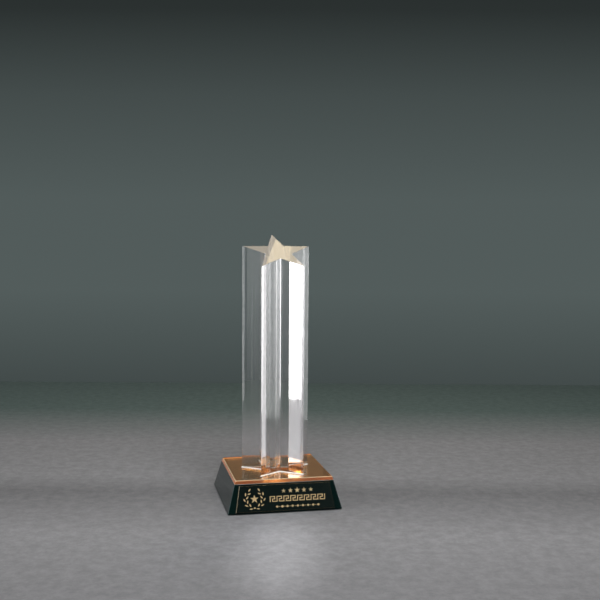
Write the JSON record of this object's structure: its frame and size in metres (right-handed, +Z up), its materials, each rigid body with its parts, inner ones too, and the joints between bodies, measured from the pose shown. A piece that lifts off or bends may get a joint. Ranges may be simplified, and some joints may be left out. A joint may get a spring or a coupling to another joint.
{
  "type": "column trophy",
  "caption": "Free-standing clear acrylic star column with a slanted top, on an amber mirror sheet and a black pyramid base with an engraved plate.",
  "frame": {"origin": "centre of the footprint, on the surface that the trophy stands on", "axes": "+Z up along the column, -Y towards the engraved plate, +X to the right of someone reading it"},
  "size_m": [0.1016, 0.1022, 0.2423],
  "materials": {
    "clear_acrylic": "polished",
    "clear_cement": "gloss",
    "amber_acrylic": "polished",
    "mirror_film": "polished",
    "adhesive": "matte",
    "black_acrylic": "polished",
    "gold_ply": "satin",
    "black_ply": "gloss",
    "foot_rubber": "matte"
  },
  "bodies": {
    "root": {"star_column": "clear_acrylic", "column_cement": "clear_cement", "amber_sheet": "amber_acrylic", "mirror_coating": "mirror_film", "base_adhesive": "adhesive", "base_block": "black_acrylic", "nameplate_tape": "adhesive", "nameplate_core": "gold_ply", "nameplate_face": "black_ply", "foot_front_left": "foot_rubber", "foot_front_right": "foot_rubber", "foot_rear_left": "foot_rubber", "foot_rear_right": "foot_rubber"}
  },
  "joints": []
}
